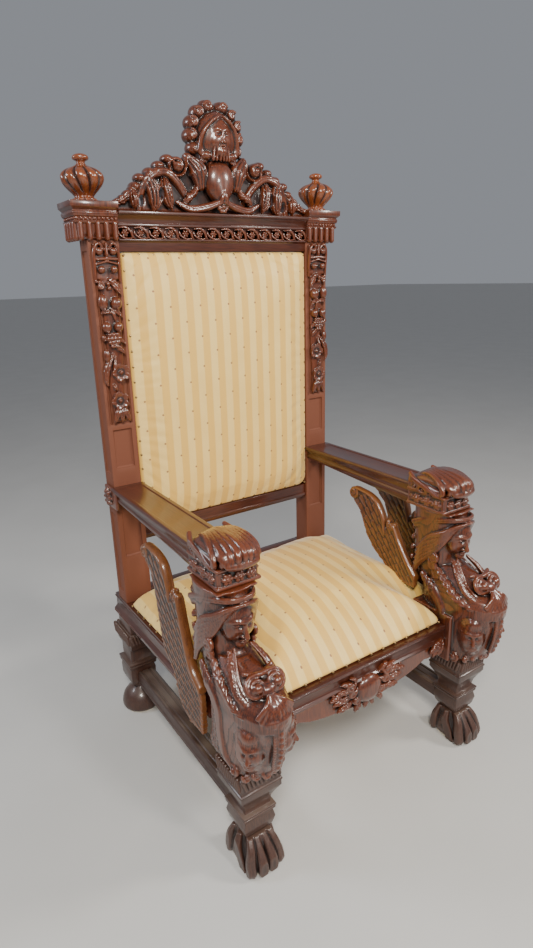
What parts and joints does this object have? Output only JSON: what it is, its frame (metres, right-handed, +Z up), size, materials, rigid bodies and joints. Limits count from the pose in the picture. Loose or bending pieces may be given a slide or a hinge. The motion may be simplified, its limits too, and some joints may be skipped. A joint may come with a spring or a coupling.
{
  "type": "carved throne armchair",
  "caption": "High-backed carved wooden throne with winged figures under the arms, urn finials, a pierced crest, paw feet and a padded seat and back.",
  "frame": {"origin": "on the floor under the middle of the overall box", "axes": "+Z up, -Y towards the front of the seat, +X towards the viewer's right when facing the front"},
  "size_m": [0.886, 0.922, 1.84],
  "materials": {
    "mahogany": "glossy polished dark red-brown mahogany",
    "mahogany_carved": "glossy carved mahogany with dark recesses",
    "wing_wood": "lighter golden-brown carved wood",
    "leg_wood": "darker, worn brown wood",
    "satin": "pale gold satin with tone stripes and small woven dots",
    "felt": "thin pale glide pad",
    "brass": "antique upholstery nails"
  },
  "bodies": {
    "root": {"stile_left": "mahogany", "stile_right": "mahogany", "capital_left": "mahogany_carved", "capital_right": "mahogany_carved", "finial_left": "mahogany_carved", "finial_right": "mahogany_carved", "top_rail": "mahogany", "crest": "mahogany_carved", "back_lower_rail": "mahogany", "back_pad": "satin", "back_panel": "mahogany", "arm_left": "mahogany", "arm_right": "mahogany", "figure_left": "mahogany_carved", "figure_right": "mahogany_carved", "wing_left_outer": "wing_wood", "wing_left_inner": "wing_wood", "wing_right_outer": "wing_wood", "wing_right_inner": "wing_wood", "front_rail": "mahogany", "side_rail_left": "mahogany", "side_rail_right": "mahogany", "rear_rail": "mahogany", "seat_cushion": "satin", "front_leg_left": "leg_wood", "front_leg_right": "leg_wood", "paw_foot_left": "leg_wood", "paw_foot_right": "leg_wood", "rear_leg_left": "leg_wood", "rear_leg_right": "leg_wood", "rear_foot_left": "leg_wood", "rear_foot_right": "leg_wood", "stretcher_left": "leg_wood", "stretcher_right": "leg_wood", "glide_pad_front_left": "felt", "glide_pad_front_right": "felt", "glide_pad_rear_left": "felt", "glide_pad_rear_right": "felt"}
  },
  "joints": []
}
